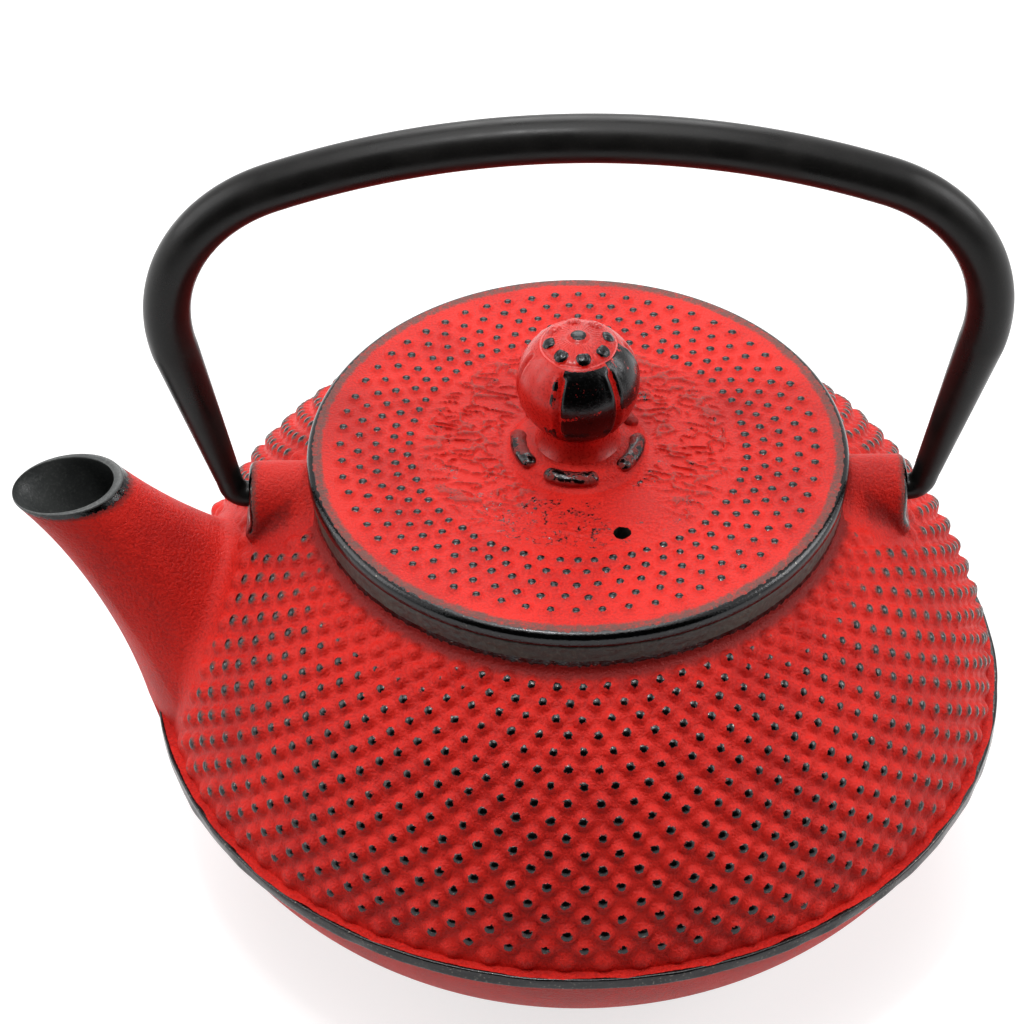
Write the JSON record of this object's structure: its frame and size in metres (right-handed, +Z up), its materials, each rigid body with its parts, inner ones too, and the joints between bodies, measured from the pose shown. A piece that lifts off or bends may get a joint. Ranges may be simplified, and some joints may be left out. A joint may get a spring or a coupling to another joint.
{
  "type": "cast iron teapot",
  "caption": "Squat cast iron teapot with a hobnail shoulder, flared spout, flat lid with ball knob, lift-out strainer and an arched handle that swings on the ears.",
  "frame": {"origin": "middle of the flat base, on the surface that the pot stands on and on the pot's upright axis", "axes": "+Z up along the pot's axis; the spout points to -X; the handle arches over the pot in the XZ plane; -Y is the front seen in the picture"},
  "size_m": [0.1742, 0.152, 0.1575],
  "materials": {
    "red_iron": "satin red paint on sand-cast iron, rubbed to black on the raised points",
    "knob_iron": "glossy black rubbed over red paint",
    "black_steel": "satin black",
    "bare_steel": "plain steel",
    "strainer_steel": "pressed stainless sheet",
    "strainer_mesh": "fine stainless mesh"
  },
  "bodies": {
    "pot": {"pot_body": "red_iron"},
    "infuser": {"infuser_rim": "strainer_steel", "infuser_wall": "strainer_mesh", "infuser_base_ring": "strainer_steel", "infuser_floor": "strainer_mesh"},
    "lid": {"lid_plate": "red_iron", "knob_seat": "red_iron", "lid_knob": "knob_iron", "knob_rivet": "bare_steel", "rivet_washer": "bare_steel"},
    "handle": {"handle_tube": "black_steel", "handle_pin_left": "black_steel", "handle_pin_right": "black_steel"}
  },
  "joints": [
    {"name": "infuser_lift", "type": "slide", "parent": "pot", "child": "infuser", "axis": [0, 0, 1], "range_m": [0, 0.02]},
    {"name": "lid_lift", "type": "slide", "parent": "infuser", "child": "lid", "axis": [0, 0, 1], "range_m": [0, 0.014]},
    {"name": "handle_swing", "type": "hinge", "parent": "pot", "child": "handle", "pos_m": [0, 0, 0.078], "axis": [1, 0, 0], "range_deg": [-104, 104]}
  ]
}
